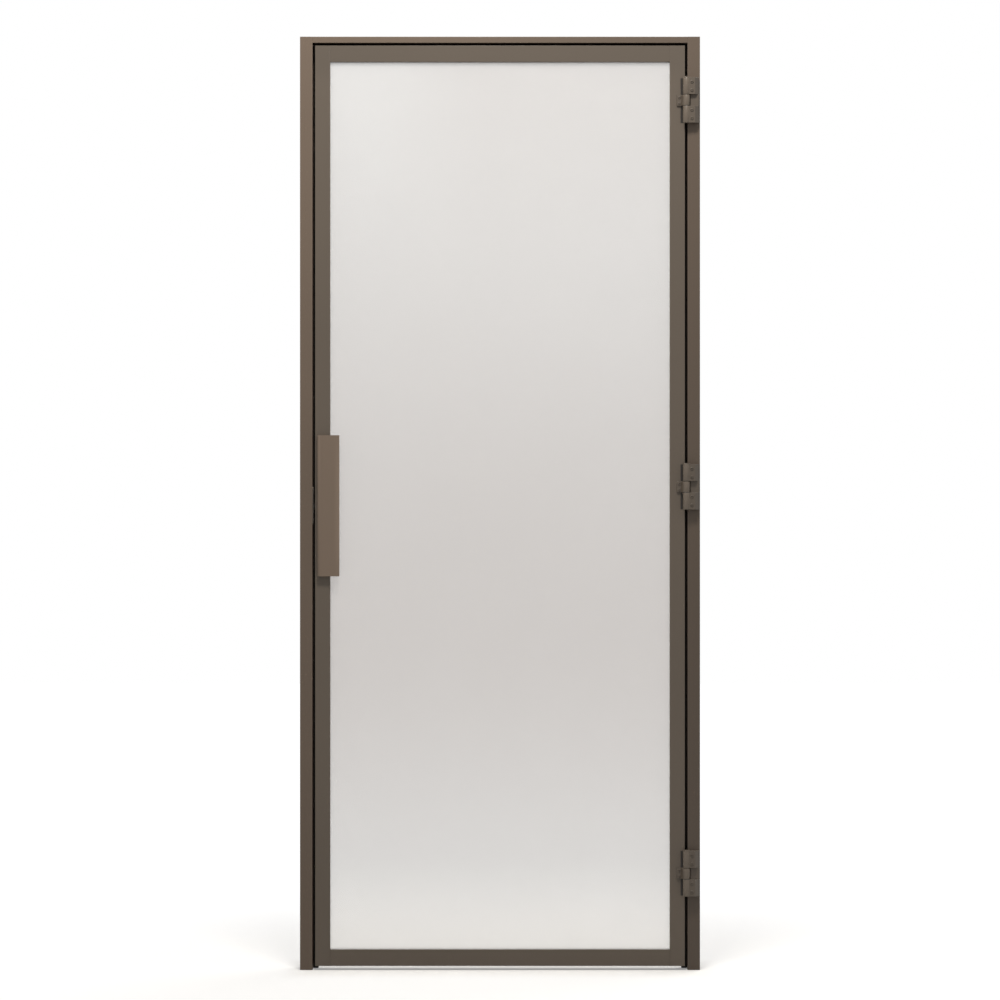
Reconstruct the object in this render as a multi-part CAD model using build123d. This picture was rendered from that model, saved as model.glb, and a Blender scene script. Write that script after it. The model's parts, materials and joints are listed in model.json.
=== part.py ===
from build123d import *
import os

# A single-leaf glazed door in its three-sided frame, in millimetres.
# X runs to the right seen from the front, the front faces -Y, and Z rises from the floor.
# The middle of the leaf's thickness lies on Y = 0, and the frame is centred on X = 0.

# Shared clearances and edges
overrun = 5
seat_clearance = 0.2
running_clearance = 0.05
edge_radius = 0.8

# Frame sections
frame_width = 900
frame_height = 2100
frame_depth = 60
frame_wall = 2
jamb_face = 28
head_face = 14
stop_reach = 12
stop_gap = 4

# Seal in the frame's stop
seal_mouth = 3
seal_groove = 6
seal_groove_depth = 2.5
seal_groove_wall = 1.2
seal_width = 9
seal_wall = 1
seal_clearance = 0.3

# Fixings of the frame
anchor_radius = 4
anchor_end = 150
anchor_rows = 4
back_return = 4

# Leaf sections
leaf_thickness = 40
side_gap = 6
head_gap = 6
floor_gap = 9
stile_face = 34
rail_face = 37
leaf_wall = 2
lip_reach = 14
lip_thickness = 3

# Glazing
glass_thickness = 8
glass_cover = 10
glass_arris = 0.8
gasket_thickness = 4
gasket_recess = 1.5
gasket_width = 7.5
gasket_foot_start = 4.5
gasket_foot = 3
gasket_foot_depth = 1.4
bead_recess = 1.5
bead_wall = 1.5
bead_front_wall = 3
bead_edge = 1.2
bead_rib = 0.8
bead_rib_width = 2
setting_length = 80
setting_width = 12
setting_share = 0.25

# Keys at the corners, and end plugs
key_length = 45
key_wall = 2
tenon_share = 0.6
tenon_height = 10
key_head_share = 0.85
key_head_height = 12
key_head_thickness = 4
end_plug_depth = 5

# Hinges
hinge_below_top = 124
hinge_above_bottom = 209
barrel_radius = 8
barrel_clearance = 4
block_height = 38
block_margin = 3
block_proud = 18
block_edge = 8
block_bevel = 9
mount_thickness = 10
mount_clearance = 1
knuckle_height = 24
wing_reach = 22
wing_thickness = 4
wing_gusset = 4
pin_radius = 4
pin_head = 2
bush_wall = 1.5
bush_flange = 1
bush_flange_radius = 7.4
backing_thickness = 5
backing_margin = 4

# Pull
pull_width = 50
pull_height = 317
pull_centre = 1044.5
pull_inset = 5
pull_projection = 12
pull_plate = 3.5
pull_fold_share = 0.95
pull_base = 24
pull_edge = 0.8
pull_bolt_inset = 13
pull_bolt_end = 34
pull_bolt_shank = 3
pull_bolt_head = 5.4
pull_bolt_grip = 2.9
socket_share = 0.5
socket_depth = 1.8

# Roller catch and strike
roller_radius = 6
roller_height = 12
roller_reach = 7
roller_clearance = 0.3
axle_radius = 1.5
carrier_arm = 3
carrier_nose = 2.5
carrier_base = 3.6
carrier_width = 11
carrier_shoulder = 3
carrier_clearance = 0.3
catch_wall = 1.5
catch_width = 20
catch_height = 48
lug_length = 12
lug_thickness = 3
lug_width = 28
face_width = 22
face_length = 70
face_corner = 4
spring_strip = 0.6
spring_width = 8
spring_length = 36
strike_thickness = 1.5
strike_width = 30
strike_length = 84
strike_window_width = 16
strike_window_height = 26

# Planes and places that follow from the sizes above
front = -leaf_thickness / 2
back = leaf_thickness / 2
frame_back = front + frame_depth
wall_x = frame_width / 2
rebate_x = wall_x - jamb_face
stop_x = rebate_x - stop_reach
stop_y = back + stop_gap
leaf_x = rebate_x - side_gap
leaf_bottom = floor_gap
leaf_top = frame_height - head_face - head_gap
tube_x = leaf_x - stile_face + lip_reach
rail_tube = rail_face - lip_reach
daylight_x = leaf_x - stile_face
daylight_bottom = leaf_bottom + rail_face
daylight_top = leaf_top - rail_face
lip_back = front + lip_thickness
glass_front = lip_back + gasket_thickness
glass_back = glass_front + glass_thickness
bead_front = glass_back + gasket_thickness
bead_rib_y = (bead_front + back) / 2
axis_x = leaf_x + side_gap / 2
axis_y = front - barrel_radius - barrel_clearance
hinge_low = leaf_bottom + hinge_above_bottom
hinge_high = leaf_top - hinge_below_top
hinge_heights = {"bottom": hinge_low, "middle": (hinge_low + hinge_high) / 2, "top": hinge_high}
knuckle_half = knuckle_height / 2
block_start = knuckle_half + bush_flange + running_clearance
block_x = wall_x - block_margin
pull_left = -leaf_x + pull_inset
pull_front = front - pull_projection
pull_bottom = pull_centre - pull_height / 2
pull_top = pull_centre + pull_height / 2
pull_bolt_x = -leaf_x + pull_bolt_inset
pull_bolt_heights = (pull_bottom + pull_bolt_end, pull_top - pull_bolt_end)
catch_z = pull_centre
roller_x = -leaf_x - roller_reach + roller_radius
carrier_front = roller_x - carrier_nose
carrier_base_front = roller_x + roller_radius + roller_clearance
carrier_base_back = carrier_base_front + carrier_base
carrier_half = roller_height / 2 + roller_clearance
catch_front = -leaf_x + leaf_wall
catch_back = -tube_x - leaf_wall
groove_back = stop_y + frame_wall + seal_groove_depth + seal_groove_wall
anchor_y = (groove_back + frame_back - frame_wall) / 2
anchor_step = (frame_height - 2 * anchor_end) / (anchor_rows - 1)
anchor_heights = [anchor_end + row * anchor_step for row in range(anchor_rows)]
sides = {"lock": -1, "hinge": 1}


def outline(points, radius=0, sharp=None):
    """A face inside straight edges, with its corners rounded by the radius, but for a sharp one."""
    face = make_face(Polyline(*points, close=True))
    if not radius:
        return face
    rounded = face.vertices()
    if sharp:
        rounded = [corner for corner in rounded if (Vector(corner) - Vector(*sharp)).length > radius]
    return fillet(rounded, radius)


def rect(a0, a1, b0, b1):
    """A rectangle between two places on each axis of its plane."""
    return Pos((a0 + a1) / 2, (b0 + b1) / 2) * Rectangle(abs(a1 - a0), abs(b1 - b0))


def upright(face, z0, z1):
    """A section drawn in X and Y, carried up from z0 to z1."""
    return extrude(Pos(0, 0, z0) * face, amount=z1 - z0, dir=(0, 0, 1))


def level(face, x0, x1):
    """A section drawn in Y and Z, carried along X between x0 and x1."""
    start, end = sorted((x0, x1))
    return extrude(Pos(start, 0, 0) * (Plane.YZ * face), amount=end - start, dir=(1, 0, 0))


def across(face, y0, y1):
    """A face drawn in X and Z, carried back from y0 to y1."""
    return extrude(Pos(0, y0, 0) * (Plane.XZ * face), amount=y1 - y0, dir=(0, 1, 0))


def block(x0, x1, y0, y1, z0, z1):
    """A box between two places on each axis."""
    return upright(rect(x0, x1, y0, y1), z0, z1)


def rod_x(x0, x1, y, z, radius):
    """A round bar along X."""
    return level(Pos(y, z) * Circle(radius), x0, x1)


def rod_y(y0, y1, x, z, radius):
    """A round bar along Y."""
    return across(Pos(x, z) * Circle(radius), y0, y1)


def rod_z(z0, z1, x, y, radius):
    """A round bar along Z."""
    return upright(Pos(x, y) * Circle(radius), z0, z1)


def turned(points):
    """A turned piece: the half section in radius and height, spun about Z."""
    return revolve(Plane.XZ * make_face(Polyline(*points, close=True)), axis=Axis.Z)


def facing(shape, origin, direction):
    """A shape made along Z, set at an origin so that its top faces the direction."""
    return Plane(origin=origin, z_dir=direction).location * shape


def key(side, joint, wall, y0, y1, z, half):
    """A hollow key: an arm in a section's end, a tenon through the next one's wall, a head behind it."""
    inner_end = joint - key_length
    shape = block(side * inner_end, side * joint, y0, y1, z - half, z + half)
    pocket = half - key_wall
    shape -= block(
        side * (inner_end - overrun), side * (joint - key_wall), y0 + key_wall, y1 - key_wall,
        z - pocket, z + pocket,
    )
    y = (y0 + y1) / 2
    depth = y1 - y0
    head_start = joint + wall
    head_end = head_start + key_head_thickness
    shape += key_bar(side * (joint - key_wall), side * head_start, y, z, depth * tenon_share, tenon_height)
    head_depth = depth * key_head_share
    return shape + key_bar(side * head_start, side * head_end, y, z, head_depth, key_head_height)


def key_bar(x0, x1, y, z, depth, height):
    """A bar along X about one line, of a depth and a height."""
    return block(x0, x1, y - depth / 2, y + depth / 2, z - height / 2, z + height / 2)


def key_window(side, joint, y0, y1, z):
    """The room that a key's tenon takes in a wall."""
    depth = (y1 - y0) * tenon_share + 2 * seat_clearance
    height = tenon_height + 2 * seat_clearance
    return key_bar(side * (joint - overrun), side * (joint + overrun), (y0 + y1) / 2, z, depth, height)


def save(name, *solids):
    """Writes one node, which holds one solid or a group of like solids."""
    shape = solids[0] if len(solids) == 1 else Compound(children=list(solids))
    export_step(shape, os.path.join("parts", name + ".step"))


# Frame


def jamb_place(side):
    """Section places of a jamb: u runs in from the wall side."""
    return lambda u, y: (side * (wall_x - u), y)


def head_place(u, y):
    """Section places of the head: u runs down from its top."""
    return y, frame_height - u


def area(place, u0, u1, y0, y1):
    """A rectangle in a section's own places."""
    a0, b0 = place(u0, y0)
    a1, b1 = place(u1, y1)
    return rect(a0, a1, b0, b1)


def frame_section(face, place):
    """Rebated section: a closed front tube, and a stop with a seal groove, open to the wall behind."""
    inner = face + stop_reach
    middle = face + stop_reach / 2
    cavity = stop_y + frame_wall
    cavity_back = cavity + seal_groove_depth
    boss = seal_groove / 2 + seal_groove_wall
    corners = [(0, front), (face, front), (face, stop_y)]
    corners += [(inner, stop_y), (inner, frame_back), (0, frame_back)]
    shape = outline([place(u, y) for u, y in corners], edge_radius, place(face, stop_y))
    shape -= area(place, frame_wall, face - frame_wall, front + frame_wall, stop_y)
    rear = area(place, frame_wall, inner - frame_wall, cavity, frame_back - frame_wall)
    shape -= rear - area(place, middle - boss, middle + boss, stop_y, groove_back)
    shape -= area(place, -overrun, frame_wall, cavity + back_return, frame_back - frame_wall - back_return)
    shape -= area(place, middle - seal_mouth / 2, middle + seal_mouth / 2, stop_y - overrun, cavity)
    shape -= area(place, middle - seal_groove / 2, middle + seal_groove / 2, cavity, cavity_back)
    return shape


def seal_section(face, place):
    """Bulb seal: a hollow bulb in front of the stop, a neck and a foot in the groove."""
    middle = face + stop_reach / 2
    cavity = stop_y + frame_wall
    bulb_front = back + seal_clearance
    neck = seal_mouth / 2 - seat_clearance
    foot = seal_groove / 2 - seat_clearance
    half = seal_width / 2
    shape = area(place, middle - half, middle + half, bulb_front, stop_y)
    shape = fillet(shape.vertices(), seal_wall)
    hollow = half - seal_wall
    shape -= area(place, middle - hollow, middle + hollow, bulb_front + seal_wall, stop_y - seal_wall)
    shape += area(place, middle - neck, middle + neck, stop_y - seal_wall, cavity + seal_wall)
    foot_back = cavity + seal_groove_depth - seat_clearance
    shape += area(place, middle - foot, middle + foot, cavity + seat_clearance, foot_back)
    return shape


def head_middle():
    """Height of the middle of the head's stop."""
    return frame_height - (head_face + stop_reach) / 2


def head_span():
    """Front and back of the room for a key in the head's stop."""
    return groove_back + seat_clearance, frame_back - frame_wall - seat_clearance


def jamb(side):
    """A full-height jamb, its stop drilled for the wall anchors and cut for the head's key."""
    shape = upright(frame_section(jamb_face, jamb_place(side)), 0, frame_height)
    for z in anchor_heights:
        shape -= rod_x(side * (stop_x - overrun), side * (stop_x + overrun), anchor_y, z, anchor_radius)
    return shape - key_window(side, stop_x, *head_span(), head_middle())


def lock_jamb():
    """The jamb that the leaf shuts against, with a window behind the strike plate."""
    shape = jamb(sides["lock"])
    half_width = strike_window_width / 2
    half_height = strike_window_height / 2
    return shape - block(
        -rebate_x - overrun, -rebate_x + overrun, -half_width, half_width,
        catch_z - half_height, catch_z + half_height,
    )


def frame_head():
    """The head: its front part meets the rebates, and its stop is coped between the jambs' stops."""
    shape = level(frame_section(head_face, head_place), -rebate_x, rebate_x)
    low = frame_height - head_face - stop_reach - overrun
    for side in sides.values():
        shape -= block(
            side * stop_x, side * (rebate_x + overrun), stop_y, frame_back + overrun,
            low, frame_height + overrun,
        )
    return shape


def head_keys():
    """The keys that hold the head between the jambs."""
    half = (head_face + stop_reach) / 2 - frame_wall - seat_clearance
    return [key(side, stop_x, frame_wall, *head_span(), head_middle(), half) for side in sides.values()]


def jamb_seal(side):
    """The seal in a jamb's stop, from the floor to the underside of the head."""
    return upright(seal_section(jamb_face, jamb_place(side)), 0, frame_height - head_face)


def head_seal():
    """The seal in the head's stop."""
    return level(seal_section(head_face, head_place), -stop_x, stop_x)


# Leaf


def stile_place(side):
    """Section places of a stile: u runs in from the leaf's edge."""
    return lambda u, y: (side * (leaf_x - u), y)


def rail_place(end):
    """Section places of a rail: u runs in from the leaf's top or bottom."""
    if end > 0:
        return lambda u, y: (y, leaf_top - u)
    return lambda u, y: (y, leaf_bottom + u)


def leaf_section(face, place):
    """Hollow section with a glazing lip along its front."""
    tube = face - lip_reach
    corners = [(0, front), (face, front), (face, lip_back), (tube, lip_back), (tube, back), (0, back)]
    shape = outline([place(u, y) for u, y in corners], edge_radius, place(tube, lip_back))
    return shape - area(place, leaf_wall, tube - leaf_wall, front + leaf_wall, back - leaf_wall)


def ring(inner, outer, y0, y1):
    """A rectangular loop round the daylight opening, between two distances out from its edge."""
    width = 2 * daylight_x
    height = daylight_top - daylight_bottom
    face = Rectangle(width + 2 * outer, height + 2 * outer)
    face -= Rectangle(width + 2 * inner, height + 2 * inner)
    return across(Pos(0, (daylight_bottom + daylight_top) / 2) * face, y0, y1)


def gasket_groove(y0, y1):
    """The groove that takes a gasket's foot."""
    start = gasket_foot_start - seat_clearance
    return ring(start, gasket_foot_start + gasket_foot + seat_clearance, y0, y1)


def glazing_grooves():
    """Grooves in the leaf for the front gasket's foot and the beads' ribs."""
    foot = gasket_groove(lip_back - gasket_foot_depth - seat_clearance / 2, lip_back + overrun)
    half = bead_rib_width / 2 + seat_clearance / 2
    rib_end = lip_reach + bead_rib + seat_clearance
    rib = ring(lip_reach - overrun, rib_end, bead_rib_y - half, bead_rib_y + half)
    return foot + rib


def rail_middle(end):
    """Height of the middle of a rail's tube."""
    return leaf_top - rail_tube / 2 if end > 0 else leaf_bottom + rail_tube / 2


def corner_span():
    """Front and back of the room for a key in a rail's end."""
    return lip_back + seat_clearance, back - leaf_wall - seat_clearance


def stile(side):
    """A full-height stile with windows for the corner keys."""
    shape = upright(leaf_section(stile_face, stile_place(side)), leaf_bottom, leaf_top)
    shape -= glazing_grooves()
    for end in (-1, 1):
        shape -= key_window(side, tube_x, *corner_span(), rail_middle(end))
    return shape


def lock_stile():
    """The stile with the pull's bolt holes and the catch's cut-out in its edge."""
    shape = stile(sides["lock"])
    bolt = pull_bolt(seat_clearance)
    for z in pull_bolt_heights:
        shape -= facing(bolt, (pull_bolt_x, back, z), (0, 1, 0))
    return shape - face_blank(seat_clearance, -leaf_x - overrun, catch_front)


def rail(end):
    """A rail between the stiles' tubes, its face cut back round the stiles' lips."""
    shape = level(leaf_section(rail_face, rail_place(end)), -tube_x, tube_x)
    for side in sides.values():
        shape -= block(
            side * daylight_x, side * (tube_x + overrun), front - overrun, lip_back,
            leaf_bottom - overrun, leaf_top + overrun,
        )
    return shape - glazing_grooves()


def corner_keys():
    """The keys that join the rails to the stiles."""
    half = rail_tube / 2 - leaf_wall - seat_clearance
    return [
        key(side, tube_x, leaf_wall, *corner_span(), rail_middle(end), half)
        for side in sides.values()
        for end in (-1, 1)
    ]


def end_plugs():
    """Plugs in the open ends of the stiles."""
    inset = leaf_wall + seat_clearance
    plugs = []
    for side in sides.values():
        for z0 in (leaf_bottom, leaf_top - end_plug_depth):
            x0 = side * (tube_x + inset)
            x1 = side * (leaf_x - inset)
            plugs.append(block(x0, x1, front + inset, back - inset, z0, z0 + end_plug_depth))
    return plugs


def glass_pane():
    """The pane, with its edges eased."""
    width = 2 * (daylight_x + glass_cover)
    height = daylight_top - daylight_bottom + 2 * glass_cover
    face = Pos(0, (daylight_bottom + daylight_top) / 2) * Rectangle(width, height)
    pane = across(face, glass_front, glass_back)
    return chamfer(pane.edges(), glass_arris)


def front_gasket():
    """The gasket between the lips and the pane, with its foot in the lips."""
    shape = ring(gasket_recess, gasket_recess + gasket_width, lip_back, glass_front)
    foot_end = gasket_foot_start + gasket_foot
    return shape + ring(
        gasket_foot_start, foot_end, lip_back - gasket_foot_depth, lip_back + gasket_foot_depth,
    )


def rear_gasket():
    """The gasket between the pane and the beads, with its foot in the beads."""
    shape = ring(bead_recess + gasket_recess, gasket_recess + gasket_width, glass_back, bead_front)
    foot_end = gasket_foot_start + gasket_foot
    return shape + ring(
        gasket_foot_start, foot_end, bead_front - gasket_foot_depth, bead_front + gasket_foot_depth,
    )


def bead_section(place):
    """Hollow glazing bead: d runs out from the daylight edge, and a rib snaps into the leaf."""
    shape = area(place, bead_recess, lip_reach, bead_front, back)
    visible = Vector(*place(bead_recess, back))
    shape = fillet(shape.vertices().sort_by_distance(visible)[0], bead_edge)
    near = bead_recess + bead_wall
    far = lip_reach - bead_wall
    shape -= area(place, near, far, bead_front + bead_front_wall, back - bead_wall)
    half = bead_rib_width / 2
    rib = area(place, far, lip_reach + bead_rib, bead_rib_y - half, bead_rib_y + half)
    return shape + rib


def bead_groove():
    """The groove in the beads for the rear gasket's foot."""
    return gasket_groove(bead_front - overrun, bead_front + gasket_foot_depth + seat_clearance / 2)


def side_bead(side):
    """A bead along a stile, between the beads of the rails."""
    section = bead_section(lambda d, y: (side * (daylight_x + d), y))
    shape = upright(section, daylight_bottom - bead_recess, daylight_top + bead_recess)
    return shape - bead_groove()


def rail_bead(end):
    """A bead along a rail, from stile to stile."""
    edge = daylight_top if end > 0 else daylight_bottom
    section = bead_section(lambda d, y: (y, edge + end * d))
    return level(section, -tube_x, tube_x) - bead_groove()


def setting_blocks():
    """Two blocks that carry the pane on the bottom rail."""
    z0 = leaf_bottom + rail_tube
    z1 = daylight_bottom - glass_cover
    middle = (glass_front + glass_back) / 2
    centre = (daylight_x + glass_cover) * 2 * setting_share
    half = setting_length / 2
    y0 = middle - setting_width / 2
    y1 = middle + setting_width / 2
    return [block(side * centre - half, side * centre + half, y0, y1, z0, z1) for side in sides.values()]


# Hinges


def block_spans(z):
    """Lower and upper end of the two frame blocks of the hinge at a height."""
    reach = block_start + block_height
    return (z - reach, z - block_start), (z + block_start, z + reach)


def hinge_mount(z):
    """Two bevelled blocks on the jamb, each with its share of the barrel, and the plate between them."""
    near = front - block_edge
    proud = front - block_proud
    corners = [(axis_x, front), (block_x, front), (block_x, near)]
    corners += [(block_x - block_bevel, proud), (axis_x, proud)]
    section = outline(corners) + Pos(axis_x, axis_y) * Circle(barrel_radius)
    section -= Pos(axis_x, axis_y) * Circle(pin_radius + running_clearance / 2)
    low, high = block_spans(z)
    inner = axis_x + barrel_radius + mount_clearance
    plate = block(inner, block_x, front - mount_thickness, front, low[1], high[0])
    return upright(section, *low) + plate + upright(section, *high)


def leaf_wing(z):
    """The middle knuckle, with a wing on the stile's face and a gusset up to the knuckle's side."""
    edge = axis_x - wing_reach
    flank = axis_x - barrel_radius
    face = front - wing_thickness
    ease = wing_thickness / 2
    corners = [(edge, front), (edge, face + ease), (edge + ease, face), (flank - wing_gusset, face)]
    corners += [(flank, axis_y), (axis_x, axis_y), (axis_x, front)]
    section = outline(corners) + Pos(axis_x, axis_y) * Circle(barrel_radius)
    section -= Pos(axis_x, axis_y) * Circle(pin_radius + bush_wall + running_clearance * 2)
    return upright(section, z - knuckle_half, z + knuckle_half)


def hinge_pin(z):
    """The pin through the three knuckles, with a round head on top of the barrel."""
    reach = block_start + block_height
    points = [(0, -2 * reach), (pin_radius, -2 * reach), (pin_radius, 0), (barrel_radius, 0)]
    points += [(barrel_radius, pin_head), (0, pin_head)]
    return facing(turned(points), (axis_x, axis_y, z + reach), (0, 0, 1))


def hinge_bush(z):
    """A flanged bush in the leaf's knuckle, which runs on the pin and rests on the lower block."""
    inner = pin_radius + running_clearance
    outer = pin_radius + bush_wall + running_clearance
    points = [(inner, -knuckle_height), (outer, -knuckle_height), (outer, 0), (bush_flange_radius, 0)]
    points += [(bush_flange_radius, bush_flange), (inner, bush_flange)]
    return facing(turned(points), (axis_x, axis_y, z - knuckle_half), (0, 0, -1))


def jamb_backing(z):
    """A tapped strip behind the jamb's face, as tall as the hinge."""
    x0 = rebate_x + frame_wall + backing_margin
    x1 = wall_x - frame_wall - backing_margin
    y0 = front + frame_wall
    reach = block_start + block_height
    return block(x0, x1, y0, y0 + backing_thickness, z - reach, z + reach)


def stile_backing(z):
    """A tapped plate behind the stile's face."""
    inset = leaf_wall + seat_clearance
    y0 = front + leaf_wall
    reach = knuckle_half + backing_margin
    return block(tube_x + inset, leaf_x - inset, y0, y0 + backing_thickness, z - reach, z + reach)


# Pull


def pull_handle():
    """A plate folded over on itself: a short flange on the stile, and a grip that overhangs the pane."""
    right = pull_left + pull_width
    outer = rect(pull_left, right, pull_front, front)
    half = pull_projection / 2
    outer = fillet(outer.vertices().group_by(Axis.X)[0], half * pull_fold_share)
    inner = rect(pull_left + pull_plate, right + overrun, pull_front + pull_plate, front - pull_plate)
    inner = fillet(inner.vertices().group_by(Axis.X)[0], (half - pull_plate) * pull_fold_share)
    section = outer - inner
    section -= rect(pull_left + pull_base, right + overrun, front - pull_plate - overrun, front + overrun)
    section = chamfer(section.vertices().group_by(Axis.X)[-1], pull_edge)
    shape = upright(section, pull_bottom, pull_top)
    for z in pull_bolt_heights:
        hole = pull_bolt_shank + running_clearance
        shape -= rod_y(front - pull_bolt_grip - seat_clearance, front + overrun, pull_bolt_x, z, hole)
    return shape


def pull_bolt(grow=0):
    """A countersunk bolt, its head flush with Z = 0; grown, it cuts its own hole."""
    length = leaf_thickness + pull_bolt_grip
    head = pull_bolt_head + grow
    shank = pull_bolt_shank + grow
    body = turned([(0, 0), (head, 0), (shank, shank - head), (shank, -length), (0, -length)])
    if grow:
        return body
    return body - extrude(RegularPolygon(head * socket_share, side_count=6), amount=-socket_depth)


def pull_bolts():
    """The bolts that hold the pull, their heads flush with the back of the leaf."""
    return [facing(pull_bolt(), (pull_bolt_x, back, z), (0, 1, 0)) for z in pull_bolt_heights]


# Roller catch


def face_blank(grow, x0, x1):
    """The face plate's rounded outline, carried between two places along X."""
    face = RectangleRounded(face_width + 2 * grow, face_length + 2 * grow, face_corner + grow)
    return level(Pos(0, catch_z) * face, x0, x1)


def catch_window(x0, x1):
    """The space that the carrier and the roller move through."""
    half_width = roller_radius + carrier_clearance * 2
    half_height = carrier_half + carrier_arm + carrier_clearance
    return block(x0, x1, -half_width, half_width, catch_z - half_height, catch_z + half_height)


def catch_face():
    """The face plate, flush in the edge of the stile."""
    return face_blank(0, -leaf_x, catch_front) - catch_window(-leaf_x - overrun, catch_front + overrun)


def catch_case():
    """An open box between the stile's walls, with lugs for the face plate's screws."""
    half_width = catch_width / 2
    half_height = catch_height / 2
    shape = block(
        catch_front, catch_back, -half_width, half_width, catch_z - half_height, catch_z + half_height,
    )
    lug_half = half_height + lug_length
    shape += block(
        catch_front, catch_front + lug_thickness, -lug_width / 2, lug_width / 2,
        catch_z - lug_half, catch_z + lug_half,
    )
    inner_half = half_height - catch_wall
    shape -= block(
        catch_front + lug_thickness, catch_back - catch_wall,
        catch_wall - half_width, half_width - catch_wall,
        catch_z - inner_half, catch_z + inner_half,
    )
    return shape - catch_window(catch_front - overrun, catch_front + lug_thickness + overrun)


def catch_carrier():
    """A yoke: two arms that hold the axle, and a base whose shoulders stop behind the case's front."""
    half_width = carrier_width / 2
    half_height = carrier_half + carrier_arm
    shape = block(
        carrier_front, carrier_base_back, -half_width, half_width,
        catch_z - half_height, catch_z + half_height,
    )
    shape = chamfer(shape.edges().filter_by(Axis.Z).group_by(Axis.X)[0], carrier_nose)
    shoulder = half_height + carrier_shoulder
    shape += block(
        catch_front + lug_thickness, carrier_base_back, -half_width, half_width,
        catch_z - shoulder, catch_z + shoulder,
    )
    shape -= block(
        carrier_front - overrun, carrier_base_front, -half_width - overrun, half_width + overrun,
        catch_z - carrier_half, catch_z + carrier_half,
    )
    return shape - rod_z(
        catch_z - half_height - overrun, catch_z + half_height + overrun, roller_x, 0,
        axle_radius + running_clearance,
    )


def catch_axle():
    """The roller's axle, held in the carrier's arms."""
    half = carrier_half + carrier_arm
    return rod_z(catch_z - half, catch_z + half, roller_x, 0, axle_radius)


def catch_roller():
    """The roller, bored for the axle."""
    face = Circle(roller_radius) - Circle(axle_radius + running_clearance)
    half = roller_height / 2
    return upright(Pos(roller_x, 0) * face, catch_z - half, catch_z + half)


def catch_spring():
    """A bowed strip: its ends bear on the back of the case and its crown on the carrier."""
    seat = catch_back - catch_wall
    half = spring_length / 2
    crown = carrier_base_back
    ends = [(seat, catch_z - half), (crown, catch_z), (seat, catch_z + half)]
    inner = [(seat, catch_z - half + spring_strip), (crown + spring_strip, catch_z)]
    inner.append((seat, catch_z + half - spring_strip))
    bow = ThreePointArc(*ends)
    hollow = ThreePointArc(*reversed(inner))
    face = make_face([bow, Line(ends[2], inner[2]), hollow, Line(inner[0], ends[0])])
    return across(face, -spring_width / 2, spring_width / 2)


def strike_plate():
    """A plate with a window that the roller drops into."""
    face = RectangleRounded(strike_width, strike_length, face_corner)
    face -= Rectangle(strike_window_width, strike_window_height)
    return level(Pos(0, catch_z) * face, -rebate_x, -rebate_x + strike_thickness)


# Every node of the door

os.makedirs("parts", exist_ok=True)
save("lock_jamb", lock_jamb())
save("hinge_jamb", jamb(sides["hinge"]))
save("frame_head", frame_head())
save("head_keys", *head_keys())
save("head_seal", head_seal())
save("jamb_backing_strips", *[jamb_backing(z) for z in hinge_heights.values()])
save("strike_plate", strike_plate())
save("lock_stile", lock_stile())
save("hinge_stile", stile(sides["hinge"]))
for end_name, end in {"bottom": -1, "top": 1}.items():
    save(end_name + "_rail", rail(end))
    save(end_name + "_bead", rail_bead(end))
for side_name, side in sides.items():
    save(side_name + "_jamb_seal", jamb_seal(side))
    save(side_name + "_bead", side_bead(side))
save("corner_keys", *corner_keys())
save("stile_end_plugs", *end_plugs())
save("glass_pane", glass_pane())
save("front_gasket", front_gasket())
save("rear_gasket", rear_gasket())
save("setting_blocks", *setting_blocks())
for hinge_name, hinge_z in hinge_heights.items():
    save(hinge_name + "_hinge_blocks", hinge_mount(hinge_z))
    save(hinge_name + "_hinge_wing", leaf_wing(hinge_z))
    save(hinge_name + "_hinge_pin", hinge_pin(hinge_z))
save("hinge_bushes", *[hinge_bush(z) for z in hinge_heights.values()])
save("stile_backing_plates", *[stile_backing(z) for z in hinge_heights.values()])
save("pull_handle", pull_handle())
save("pull_bolts", *pull_bolts())
save("catch_face", catch_face())
save("catch_case", catch_case())
save("catch_spring", catch_spring())
save("catch_carrier", catch_carrier())
save("catch_axle", catch_axle())
save("catch_roller", catch_roller())
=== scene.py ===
"""Looks of a glazed door in its bronze frame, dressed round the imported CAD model, in metres."""

import json
import math

import bpy
import numpy as np
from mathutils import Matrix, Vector


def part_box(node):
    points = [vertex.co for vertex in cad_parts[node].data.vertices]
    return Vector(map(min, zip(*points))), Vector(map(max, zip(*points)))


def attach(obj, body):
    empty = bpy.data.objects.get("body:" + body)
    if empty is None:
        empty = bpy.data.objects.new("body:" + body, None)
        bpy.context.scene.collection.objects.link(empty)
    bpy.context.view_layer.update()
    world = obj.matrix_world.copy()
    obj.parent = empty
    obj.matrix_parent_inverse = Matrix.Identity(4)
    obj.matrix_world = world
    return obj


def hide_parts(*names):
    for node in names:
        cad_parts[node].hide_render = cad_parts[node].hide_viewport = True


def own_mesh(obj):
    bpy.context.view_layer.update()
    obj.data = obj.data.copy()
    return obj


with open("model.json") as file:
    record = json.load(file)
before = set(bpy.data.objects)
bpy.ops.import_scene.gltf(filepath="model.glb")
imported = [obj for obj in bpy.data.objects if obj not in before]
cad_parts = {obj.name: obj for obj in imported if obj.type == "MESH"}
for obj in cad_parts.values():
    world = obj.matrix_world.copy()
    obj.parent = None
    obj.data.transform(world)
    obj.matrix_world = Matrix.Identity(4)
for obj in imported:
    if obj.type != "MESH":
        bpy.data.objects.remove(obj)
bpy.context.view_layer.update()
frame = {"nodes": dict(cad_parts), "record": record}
nodes = frame["nodes"]


# Shader expressions


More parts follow.
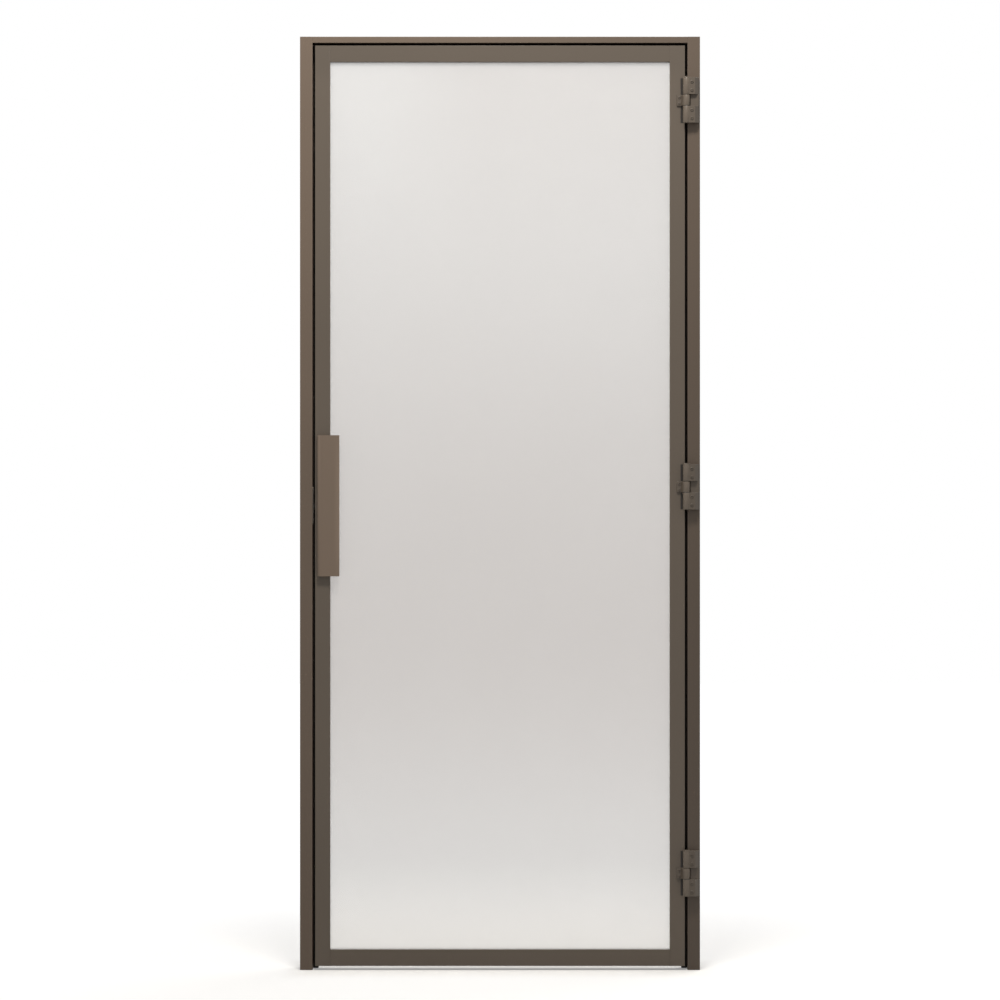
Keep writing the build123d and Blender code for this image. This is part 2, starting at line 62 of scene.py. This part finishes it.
class Shade:
    """One output of a shader node; arithmetic on it adds Math nodes to the same material."""

    def __init__(self, tree, socket=None):
        self.tree = tree
        self.socket = socket

    def node(self, kind, settings=None, inputs=None, output=0):
        """Adds a node: first its settings, then the value or link of each named socket."""
        made = self.tree.nodes.new(kind)
        for name, value in (settings or {}).items():
            setattr(made, name, value)
        for name, value in (inputs or {}).items():
            if isinstance(value, Shade):
                self.tree.links.new(value.socket, made.inputs[name])
            else:
                made.inputs[name].default_value = value
        return Shade(self.tree, made.outputs[output] if made.outputs else None)

    def calc(self, operation, *values):
        """A Math node on numbers and shades."""
        return self.node("ShaderNodeMath", {"operation": operation}, dict(enumerate(values)))

    def __add__(self, other):
        return self.calc("ADD", self, other)

    __radd__ = __add__

    def __sub__(self, other):
        return self.calc("SUBTRACT", self, other)

    def __rsub__(self, other):
        return self.calc("SUBTRACT", other, self)

    def __mul__(self, other):
        return self.calc("MULTIPLY", self, other)

    __rmul__ = __mul__

    def __abs__(self):
        return self.calc("ABSOLUTE", self)

    def larger(self, other):
        """The larger of this and another."""
        return self.calc("MAXIMUM", self, other)

    def between(self, low, high):
        """Rises smoothly from 0 at low to 1 at high, whichever of them is the greater."""
        return self.node(
            "ShaderNodeMapRange", {"interpolation_type": "SMOOTHSTEP"}, {0: self, 1: low, 2: high},
        )

    def from_nearest(self, apart):
        """Distance from the nearest of the places that lie so far apart, one of them at 0."""
        return abs(self.calc("WRAP", self, apart / 2, -apart / 2))

    def tint(self, first, second):
        """The first colour where this is 0, the second where it is 1."""
        first, second = [(*c, 1.0) if isinstance(c, tuple) else c for c in (first, second)]
        return self.node("ShaderNodeMix", {"data_type": "RGBA"}, {0: self, 6: first, 7: second}, 2)

    def place(self):
        """Object coordinates."""
        return self.node("ShaderNodeTexCoord", output="Object")

    def axis(self, letter):
        """One of a vector's parts."""
        return self.node("ShaderNodeSeparateXYZ", inputs={0: self}, output=letter)

    def noise(self, scale, detail=2.0, stretch=(1.0, 1.0, 1.0)):
        """Noise on this vector, with so many features a metre."""
        vector = self.node("ShaderNodeVectorMath", {"operation": "MULTIPLY"}, {0: self, 1: stretch})
        inputs = {"Vector": vector, "Scale": scale, "Detail": detail}
        return self.node("ShaderNodeTexNoise", inputs=inputs)

    def bump(self, strength, distance):
        """A normal that follows this height."""
        inputs = {"Strength": strength, "Distance": distance, "Height": self}
        return self.node("ShaderNodeBump", inputs=inputs)


def new_finish(name):
    """An empty material and the shade that adds nodes to it."""
    finish = bpy.data.materials.new(name)
    finish.use_nodes = True
    finish.node_tree.nodes.clear()
    return finish, Shade(finish.node_tree)


def close_finish(shade, sockets):
    """Ends a material in one Principled shader."""
    shader = shade.node("ShaderNodeBsdfPrincipled", inputs=sockets)
    shade.node("ShaderNodeOutputMaterial", inputs={"Surface": shader})


def scaled(colour, factor):
    """A colour made lighter or darker."""
    return tuple(part * factor for part in colour)


# Finishes

FRAME_COAT = (0.126, 0.092, 0.067)
LEAF_COAT = (0.098, 0.078, 0.060)
HINGE_COAT = scaled(LEAF_COAT, 0.86)
PULL_COAT = (0.152, 0.112, 0.083)
COAT_DUST = (0.42, 0.38, 0.33)
# Glass colours: the deep one is painted shade, the pale one painted light and also the tone of faint random
# patches, and the foot one painted light at the pane's foot.
GLASS_PAINTED_SHADE = (0.70, 0.672, 0.655)
GLASS_PALE = (0.81, 0.80, 0.79)
GLASS_FOOT_PAINTED_LIGHT = (0.99, 0.975, 0.955)
SEAL_BLACK = (0.018, 0.017, 0.016)
GASKET_GREY = (0.35, 0.33, 0.31)
DARK_STEEL = (0.17, 0.145, 0.125)
MILL_ALUMINIUM = (0.7, 0.7, 0.7)
NYLON_BLACK = (0.03, 0.028, 0.026)


def bronze_coat(name, colour, wear_and_highlight=None, painted_shading=None, painted_shadow=None):
    """Satin powder coat: drifting colour, settled dust on upward faces and an orange-peel skin.

    The three masks, where given, take a place on the piece. The first gives how much the coat is brightened
    where it is rubbed, and on the hinge barrels by a painted highlight; the second how near it is to its
    full colour rather than painted shade, from 0 to 1; the third how much painted shadow darkens it.
    """
    wear_and_highlight_share, deepest_share, painted_shadow_share = 1.7, 0.55, 0.08
    finish, shade = new_finish(name)
    place = shade.place()
    drift = place.noise(scale=2.6, detail=4.0).between(0.3, 0.7)
    grain = place.noise(scale=1500.0)
    facing_up = shade.node("ShaderNodeTexCoord", output="Normal").axis("Z").between(0.6, 0.98)
    dust = 0.2 * facing_up * place.noise(scale=240.0, detail=6.0).between(0.3, 0.8)
    tone = drift.tint(scaled(colour, 0.94), scaled(colour, 1.06))
    tone = grain.between(0.25, 0.8).tint(tone, scaled(colour, 1.12))
    # Painted light and shade: the coat runs from a darker copy of its colour up to its full colour.
    if painted_shading:
        tone = painted_shading(place).tint(scaled(colour, deepest_share), tone)
    tone = dust.tint(tone, COAT_DUST)
    # Painted shadow: the coat darkens to near black where the mask gives.
    if painted_shadow:
        tone = painted_shadow(place).tint(tone, scaled(colour, painted_shadow_share))
    roughness = 0.4 + 0.12 * grain + 0.2 * dust
    # Rubbing brightens and smooths the coat; on the hinge barrels the brightening is a painted highlight.
    if wear_and_highlight:
        wear_and_highlight_amount = wear_and_highlight(place) * (0.45 + 0.55 * place.noise(scale=220.0, detail=4.0))
        tone = (0.5 * wear_and_highlight_amount).tint(tone, scaled(colour, wear_and_highlight_share))
        roughness = roughness - 0.12 * wear_and_highlight_amount
    skin = 0.7 * grain + 0.3 * place.noise(scale=420.0)
    close_finish(shade, {
        "Base Color": tone,
        "Roughness": roughness,
        "Metallic": 0.0,
        "Specular IOR Level": 0.35,
        "Normal": skin.bump(strength=0.12, distance=0.0003),
    })
    return finish


def satin_glass(name):
    """Pale grey glass: satin faces with a slow wave and wiped smears.

    Its colour carries painted shade, darkest a third of the way up and a little darker at the upper right,
    and painted light that clears it towards the top and at the foot.
    """
    deepest_share = 0.36
    foot_rise, foot_sink = 0.235, 0.015
    corner_drop, corner_inset = 0.6, 0.06
    finish, shade = new_finish(name)
    place = shade.place()
    height = place.axis("Z")
    low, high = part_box("glass_pane")
    deepest = low.z + deepest_share * (high.z - low.z)
    above = height.between(deepest, high.z)
    below = height.between(deepest, low.z)
    foot = height.between(low.z + foot_rise, low.z - foot_sink)
    to_the_right = place.axis("X").between(low.x + corner_inset, 0.0)
    painted_shade_upper_right = height.between(high.z - corner_drop, high.z) * to_the_right
    cloud = place.noise(scale=1.3, stretch=(1.0, 1.0, 0.5)).between(0.3, 0.7)
    smear = place.noise(scale=7.0, detail=4.0, stretch=(1.0, 1.0, 0.25)).between(0.5, 0.8)
    satin = place.noise(scale=400.0, detail=3.0)
    wave = place.noise(scale=5.0, detail=1.0, stretch=(0.4, 1.0, 1.0))
    # Painted light and shade: pale towards the top, darkest a third of the way up, darker at the upper
    # right, and clear at the foot.
    tone = above.tint(GLASS_PAINTED_SHADE, GLASS_PALE)
    tone = (0.46 * painted_shade_upper_right).tint(tone, GLASS_PAINTED_SHADE)
    tone = below.tint(tone, GLASS_PALE)
    tone = foot.tint(tone, GLASS_FOOT_PAINTED_LIGHT)
    tone = (0.12 * cloud).tint(tone, GLASS_PALE)
    close_finish(shade, {
        "Base Color": tone,
        "Roughness": 0.24 + 0.04 * satin - 0.05 * smear,
        "IOR": 1.5,
        "Transmission Weight": 0.78,
        "Normal": wave.bump(strength=0.15, distance=0.001),
    })
    return finish


def rubber(name, colour):
    """Matt rubber with extrusion lines too fine to count and a dusty bloom."""
    finish, shade = new_finish(name)
    place = shade.place()
    bloom = place.noise(scale=35.0, detail=5.0).between(0.4, 0.75)
    lines = place.noise(scale=700.0, stretch=(1.0, 1.0, 0.05))
    close_finish(shade, {
        "Base Color": (0.4 * bloom).tint(colour, scaled(colour, 1.6)),
        "Roughness": 0.62 + 0.15 * bloom,
        "Specular IOR Level": 0.3,
        "Normal": lines.bump(strength=0.15, distance=0.0002),
    })
    return finish


def brushed_metal(name, colour):
    """Satin bare metal, brushed along its height and marked by handling."""
    finish, shade = new_finish(name)
    place = shade.place()
    brushed = place.noise(scale=2600.0, detail=3.0, stretch=(1.0, 1.0, 0.03))
    marks = place.noise(scale=90.0, detail=4.0).between(0.45, 0.8)
    close_finish(shade, {
        "Base Color": brushed.tint(scaled(colour, 0.9), scaled(colour, 1.08)),
        "Metallic": 1.0,
        "Roughness": 0.42 + 0.14 * brushed + 0.1 * marks,
        "Normal": brushed.bump(strength=0.1, distance=0.0001),
    })
    return finish


def moulded_plastic(name, colour):
    """Moulded nylon with a spark-eroded skin."""
    finish, shade = new_finish(name)
    place = shade.place()
    skin = place.noise(scale=1100.0, detail=3.0)
    flow = place.noise(scale=40.0, detail=3.0).between(0.35, 0.7)
    close_finish(shade, {
        "Base Color": flow.tint(colour, scaled(colour, 1.35)),
        "Roughness": 0.5 + 0.12 * skin,
        "Normal": skin.bump(strength=0.2, distance=0.0002),
    })
    return finish


# Where the coats change, and where light, shade and highlights are painted on them


def frame_painted_light_and_shade(place):
    """Painted light and shade on the frame's coat: palest at the upper left and darkest down the hinge
    side.
    """
    low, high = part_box("lock_jamb")
    across = place.axis("X").between(-low.x, low.x)
    up = place.axis("Z").between(low.z, high.z)
    return 0.56 * across + 0.44 * up


def top_rail_painted_shade(place):
    """The leaf's coat has its full colour up to the top rail, which carries painted shade and so is a
    little darker.
    """
    fade, deepening = 0.06, 0.26
    rail_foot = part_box("top_rail")[0].z
    return 1 - deepening * place.axis("Z").between(rail_foot - fade, rail_foot)


def painted_shadow_beside_barrels(place):
    """Painted shadow lines on the hinge stile beside the fixed barrels, above and below each wing."""
    past_end, soft_end = 0.001, 0.002
    line_edge, line_full = 0.0055, 0.004
    skin, skin_full = 0.001, 0.0004
    low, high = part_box("bottom_hinge_blocks")
    wing_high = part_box("bottom_hinge_wing")[1]
    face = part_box("hinge_stile")[0].y
    first = (low.z + high.z) / 2
    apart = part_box("middle_hinge_blocks")[0].z - low.z
    block_end = high.z - first
    wing_end = wing_high.z - first
    away = (place.axis("Z") - first).from_nearest(apart)
    reach = away.between(block_end + past_end, block_end - soft_end)
    reach = reach * away.between(wing_end, wing_end + soft_end)
    line = place.axis("X").between(low.x - line_edge, low.x - line_full)
    front = place.axis("Y").between(face + skin, face + skin_full)
    return 0.9 * reach * line * front


def barrel_painted_highlight_and_polish(place):
    """The turned barrels of the hinges: smoother than their blocks, with a painted highlight that makes
    them brighter.
    """
    radius = 0.008
    outside, inside = 0.0006, 0.0001
    low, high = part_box("bottom_hinge_wing")
    across = place.axis("X") - (high.x - radius)
    deep = place.axis("Y") - (low.y + radius)
    from_axis = place.calc("SQRT", across * across + deep * deep)
    return 1.6 * from_axis.between(radius + outside, radius + inside)


def gripped(place):
    """Wear along the pull's free edge and round its front, where hands take it."""
    edge_width, end_fade = 0.014, 0.08
    front_fade, front_full = 0.006, 0.001
    low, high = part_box("pull_handle")
    height = place.axis("Z")
    edge = place.axis("X").between(high.x - edge_width, high.x)
    front = place.axis("Y").between(low.y + front_fade, low.y + front_full)
    middle = height.between(low.z, low.z + end_fade) * height.between(high.z, high.z - end_fade)
    return 0.7 * edge * middle + 0.3 * front * edge


finishes = {
    "frame_coat": bronze_coat("frame_coat", FRAME_COAT, painted_shading=frame_painted_light_and_shade),
    "leaf_coat": bronze_coat("leaf_coat", LEAF_COAT, painted_shading=top_rail_painted_shade, painted_shadow=painted_shadow_beside_barrels),
    "bead_coat": bronze_coat("bead_coat", LEAF_COAT),
    "hinge_coat": bronze_coat("hinge_coat", HINGE_COAT, wear_and_highlight=barrel_painted_highlight_and_polish),
    "pull_coat": bronze_coat("pull_coat", PULL_COAT, wear_and_highlight=gripped),
    "pane": satin_glass("pane"),
    "seal_rubber": rubber("seal_rubber", SEAL_BLACK),
    "gasket_rubber": rubber("gasket_rubber", GASKET_GREY),
    "steel": brushed_metal("steel", DARK_STEEL),
    "inner_aluminium": brushed_metal("inner_aluminium", MILL_ALUMINIUM),
    "nylon": moulded_plastic("nylon", NYLON_BLACK),
}


# CAD pieces: their finishes and eased edges

EASE_WIDTHS = {
    "frame_coat": 0.0004,
    "leaf_coat": 0.0003,
    "bead_coat": 0.0003,
    "hinge_coat": 0.0007,
    "pull_coat": 0.0006,
    "steel": 0.0002,
}
WELD_REACH = 0.00001
FLAT_WITHIN = math.radians(0.5)
SHARP_FROM = math.radians(40.0)


def ease_edges(node, width):
    """Rounds the sharp edges of a CAD piece, whose triangles are first joined into flat faces."""
    weld = node.modifiers.new("weld", "WELD")
    weld.merge_threshold = WELD_REACH
    flat = node.modifiers.new("flat", "DECIMATE")
    flat.decimate_type = "DISSOLVE"
    flat.angle_limit = FLAT_WITHIN
    ease = node.modifiers.new("ease", "BEVEL")
    ease.width = width
    ease.segments = 2
    ease.limit_method = "ANGLE"
    ease.angle_limit = SHARP_FROM
    ease.harden_normals = True


for part in frame["record"]["subparts"]:
    node = nodes[part["node"]]
    slot = part["material_slot"]
    node.data.materials.clear()
    node.data.materials.append(finishes[slot])
    if slot in EASE_WIDTHS:
        ease_edges(node, EASE_WIDTHS[slot])


# New pieces from arrays of points


def new_object(name, points, faces, finish):
    """An object at the origin, with these points and faces and one finish."""
    mesh = bpy.data.meshes.new(name)
    mesh.from_pydata(points.tolist(), [], faces)
    mesh.materials.append(finish)
    made = bpy.data.objects.new(name, mesh)
    bpy.context.scene.collection.objects.link(made)
    return made


def ring_walls(rings, sides):
    """Four-sided faces between rings of points that follow one another, each ring with so many points."""
    step = np.arange(sides)
    ahead = (step + 1) % sides
    row = np.arange(rings - 1)[:, None] * sides
    corners = [row + step, row + ahead, row + sides + ahead, row + sides + step]
    return np.stack(corners, axis=-1).reshape(-1, 4)


def ring_caps(rings, sides):
    """Three-sided faces that close the first and last ring to the two poles, which come after all rings."""
    step = np.arange(sides)
    ahead = (step + 1) % sides
    last = (rings - 1) * sides
    pole = np.full(sides, rings * sides)
    under = np.stack([ahead, step, pole], axis=-1)
    over = np.stack([last + step, last + ahead, pole + 1], axis=-1)
    return np.concatenate([under, over])


# Small screws

HINGES = ("bottom", "middle", "top")
BLOCK_SCREW_HEAD = 0.0038
BLOCK_SCREW_RISE = 0.0018
BLOCK_SCREW_SIDE = 0.0095
BLOCK_FLAT_INSET = 0.016
BLOCK_FLAT_DEPTH = 0.018
WING_SCREW_HEAD = 0.0032
WING_SCREW_RISE = 0.0015
WING_SCREW_SIDE = 0.0065
WING_SCREW_INSET = 0.0065
WING_THICKNESS = 0.004
PLATE_SCREW_HEAD = 0.0034
PLATE_SCREW_RISE = 0.0009
STRIKE_SCREW_INSET = 0.009
CATCH_SCREW_INSET = 0.007
SCREW_SIDES = 48
FRONT = (0, -1, 0)


def socket_screw(centre, out, head, rise):
    """Points of a button screw: p = centre + out h(s) + r(s) g(s, a) (cos a, sin a) in the face's plane.

    The profile (r, h) climbs from the sunk foot over a quarter ellipse to the rim of the socket and down
    to its floor. g is 1 on the round part, and in the socket cos 30 / cos((a mod 60) - 30), a hexagon.
    The rings are followed by two poles, in the middle of the foot and of the socket's floor.
    """
    foot = -0.2 * rise
    lip = 0.15 * rise
    floor = 0.12 * rise
    brim = 0.92 * rise
    socket = 0.46 * head
    rim = 1.18 * socket
    dome = np.linspace(0.0, math.pi / 2, 6)
    radius = np.concatenate([[head], head - (head - rim) * (1 - np.cos(dome)), [socket, socket]])
    height = np.concatenate([[foot], lip + (rise - lip) * np.sin(dome), [brim, floor]])
    six_sided = np.zeros((len(radius), 1))
    six_sided[-2:] = 1.0
    angle = np.arange(SCREW_SIDES) * 2 * math.pi / SCREW_SIDES
    hexagon = math.cos(math.pi / 6) / np.cos(angle % (math.pi / 3) - math.pi / 6)
    reach = radius[:, None] * (1 - six_sided + six_sided * hexagon)
    out = np.array(out, float)
    across = np.cross(out, (0.0, 0.0, 1.0))
    up = np.cross(out, across)
    rings = (
        np.array(centre)
        + height[:, None, None] * out
        + (reach * np.cos(angle))[..., None] * across
        + (reach * np.sin(angle))[..., None] * up
    )
    poles = np.array(centre) + np.array([[foot], [floor]]) * out
    return np.concatenate([rings.reshape(-1, 3), poles]), len(radius)


def screw_set(name, centres, out, head, rise, body, slot):
    """One piece that holds like screws: each centre's points, with its faces counted on from the last."""
    points, faces = [], []
    for count, centre in enumerate(centres):
        screw, rings = socket_screw(centre, out, head, rise)
        points.append(screw)
        for part in (ring_walls(rings, SCREW_SIDES), ring_caps(rings, SCREW_SIDES)):
            faces.extend((part + count * len(screw)).tolist())
    screws = new_object(name, np.concatenate(points), faces, finishes[slot])
    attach(screws, body)


def hinge_screws():
    """Two screws in each hinge block and in each wing, on their front faces."""
    block_places, wing_places = [], []
    for name in HINGES:
        low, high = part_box(name + "_hinge_blocks")
        wing_low, wing_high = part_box(name + "_hinge_wing")
        block_height = (high.z - low.z - (wing_high.z - wing_low.z)) / 2
        flat = high.x - BLOCK_FLAT_INSET
        front = high.y - BLOCK_FLAT_DEPTH
        for middle in (low.z + block_height / 2, high.z - block_height / 2):
            block_places += [(flat, front, middle + side * BLOCK_SCREW_SIDE) for side in (-1, 1)]
        plate = wing_low.x + WING_SCREW_INSET
        front = high.y - WING_THICKNESS
        middle = (wing_low.z + wing_high.z) / 2
        wing_places += [(plate, front, middle + side * WING_SCREW_SIDE) for side in (-1, 1)]
    screw_set(
        "hinge_block_screws", block_places, FRONT, BLOCK_SCREW_HEAD, BLOCK_SCREW_RISE,
        "frame", "hinge_coat",
    )
    screw_set(
        "hinge_wing_screws", wing_places, FRONT, WING_SCREW_HEAD, WING_SCREW_RISE,
        "leaf", "hinge_coat",
    )


def plate_screws(name, node, side, inset, body):
    """Two screws near the ends of an upright plate that faces along X."""
    low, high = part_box(node)
    face = high.x if side > 0 else low.x
    middle = (low.y + high.y) / 2
    places = [(face, middle, z) for z in (low.z + inset, high.z - inset)]
    screw_set(name, places, (side, 0, 0), PLATE_SCREW_HEAD, PLATE_SCREW_RISE, body, "steel")


hinge_screws()
plate_screws("strike_screws", "strike_plate", 1, STRIKE_SCREW_INSET, "frame")
plate_screws("catch_face_screws", "catch_face", -1, CATCH_SCREW_INSET, "leaf")


# The catch's bowed spring

STRIP_THICKNESS = 0.0006
STRIP_STATIONS = 41


def bowed_strip(seat, crown, middle, half, width):
    """Points and faces of a strip bent to an arc: x = c - sqrt(R R - z z).

    R = (h h + l l) / 2 h and c = crown + R, where h is the rise from the seat to the crown and l half the
    chord. The inner arc has h and l less the thickness. Each station along z is a ring of four points, and
    the two end rings are closed by a face.
    """
    share = np.linspace(-1.0, 1.0, STRIP_STATIONS)
    arcs = []
    for chord, top in ((half, crown), (half - STRIP_THICKNESS, crown + STRIP_THICKNESS)):
        rise = seat - top
        radius = (rise ** 2 + chord ** 2) / (2 * rise)
        z = share * chord
        arcs.append((top + radius - np.sqrt(radius ** 2 - z ** 2), middle.z + z))
    (outer_x, outer_z), (inner_x, inner_z) = arcs
    near = np.full(STRIP_STATIONS, middle.y - width / 2)
    far = np.full(STRIP_STATIONS, middle.y + width / 2)
    corners = [
        np.stack([outer_x, near, outer_z], axis=-1),
        np.stack([inner_x, near, inner_z], axis=-1),
        np.stack([inner_x, far, inner_z], axis=-1),
        np.stack([outer_x, far, outer_z], axis=-1),
    ]
    rings = np.stack(corners, axis=1)
    first_ring = np.arange(4)
    ends = np.array([first_ring[::-1], first_ring + (STRIP_STATIONS - 1) * 4])
    return rings.reshape(-1, 3), np.concatenate([ring_walls(STRIP_STATIONS, 4), ends])


def catch_strip():
    """The spring strip of the catch, bowed within the CAD spring's box, which it stands in for on the leaf.
    """
    low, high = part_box("catch_spring")
    middle = (low + high) / 2
    points, faces = bowed_strip(high.x, low.x, middle, (high.z - low.z) / 2, high.y - low.y)
    strip = new_object("catch_spring_strip", points, faces.tolist(), finishes["steel"])
    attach(strip, "leaf")
    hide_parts("catch_spring")
    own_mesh(strip)


catch_strip()


# Stage, light and camera

WHITE = (1.0, 1.0, 1.0, 1.0)
FLOOR_SEEN = (0.9, 0.88, 0.85)
FLOOR_BOUNCE = (0.5, 0.49, 0.47)
FLOOR_HALF = 14.0
FLOOR_DROP = 0.0004
FLOOR_GLOW = 1.08
ROOM_FILL = (1.0, 0.99, 0.97, 1.0)
ROOM_FILL_STRENGTH = 0.5


def seen_ray(shade):
    """1 for rays from the camera and those mirrored in or passed by the object, 0 for the rest."""
    camera, mirrored, passed = [
        shade.node("ShaderNodeLightPath", output=kind)
        for kind in ("Is Camera Ray", "Is Glossy Ray", "Is Transmission Ray")
    ]
    return camera.larger(mirrored).larger(passed)


def floor_finish():
    """Matt white that keeps the door's shadow, and turns to plain white outside the doorway and far off."""
    finish, shade = new_finish("floor")
    seen = seen_ray(shade)
    place = shade.place()
    from_middle = shade.node("ShaderNodeVectorMath", {"operation": "LENGTH"}, {0: place}, "Value")
    far = from_middle.between(0.6, 2.0)
    before_or_behind = abs(place.axis("Y")).between(0.05, 0.2)
    past_the_jambs = abs(place.axis("X")).between(0.42, 0.5)
    glow = 0.22 + 0.33 * before_or_behind.larger(past_the_jambs) + 0.45 * far
    matt = shade.node("ShaderNodeBsdfDiffuse", inputs={"Color": seen.tint(FLOOR_BOUNCE, FLOOR_SEEN)})
    white = shade.node("ShaderNodeEmission", inputs={"Color": WHITE, "Strength": FLOOR_GLOW})
    mixed = shade.node("ShaderNodeMixShader", inputs={0: seen * glow, 1: matt, 2: white})
    shade.node("ShaderNodeOutputMaterial", inputs={"Surface": mixed})
    return finish


def pale_floor():
    """One wide face just under the jambs' feet."""
    corners = FLOOR_HALF * np.array([[-1, -1, 0], [1, -1, 0], [1, 1, 0], [-1, 1, 0]], float)
    floor = new_object("floor", corners - (0.0, 0.0, FLOOR_DROP), [[0, 1, 2, 3]], floor_finish())


def room_light():
    """A world that is white where it is seen and a soft fill elsewhere."""
    world = bpy.data.worlds.new("room")
    bpy.context.scene.world = world
    world.use_nodes = True
    world.node_tree.nodes.clear()
    shade = Shade(world.node_tree)
    fill = shade.node(
        "ShaderNodeBackground", inputs={"Color": ROOM_FILL, "Strength": ROOM_FILL_STRENGTH},
    )
    white = shade.node("ShaderNodeBackground", inputs={"Color": WHITE, "Strength": 1.0})
    mixed = shade.node("ShaderNodeMixShader", inputs={0: seen_ray(shade), 1: fill, 2: white})
    shade.node("ShaderNodeOutputWorld", inputs={"Surface": mixed})


def area_lamp(name, place, target, size, watts, colour):
    """A square lamp at a place, aimed at a target."""
    light = bpy.data.lights.new(name, "AREA")
    light.size = size
    light.energy = watts
    light.color = colour
    lamp = bpy.data.objects.new(name, light)
    bpy.context.scene.collection.objects.link(lamp)
    lamp.location = place
    lamp.rotation_euler = (Vector(target) - Vector(place)).to_track_quat("-Z", "Y").to_euler()


def studio_lamps():
    """A small warm key high in front of the door, and a broad lamp high behind it."""
    area_lamp(
        "key", place=(-0.05, -1.5, 3.75), target=(0.0, 0.0, 0.8),
        size=0.5, watts=78.0, colour=(1.0, 0.97, 0.92),
    )
    area_lamp(
        "back", place=(1.8, 2.6, 5.2), target=(0.0, 0.0, 1.1),
        size=2.4, watts=110.0, colour=(1.0, 0.98, 0.95),
    )


def straight_camera():
    """A long lens square to the door: the photograph's frame is 2.25 m wide on the door's front plane."""
    frame_width = 2.25
    distance = 9.0
    eye_height = 1.0575
    data = bpy.data.cameras.new("camera")
    data.sensor_width = 36.0
    data.lens = data.sensor_width * distance / frame_width
    data.clip_end = 100.0
    camera = bpy.data.objects.new("camera", data)
    bpy.context.scene.collection.objects.link(camera)
    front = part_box("lock_stile")[0].y
    camera.location = (0.0, front - distance, eye_height)
    camera.rotation_euler = (math.radians(90.0), 0.0, 0.0)
    bpy.context.scene.camera = camera


pale_floor()
room_light()
studio_lamps()
straight_camera()
bpy.context.scene.view_settings.view_transform = "Standard"
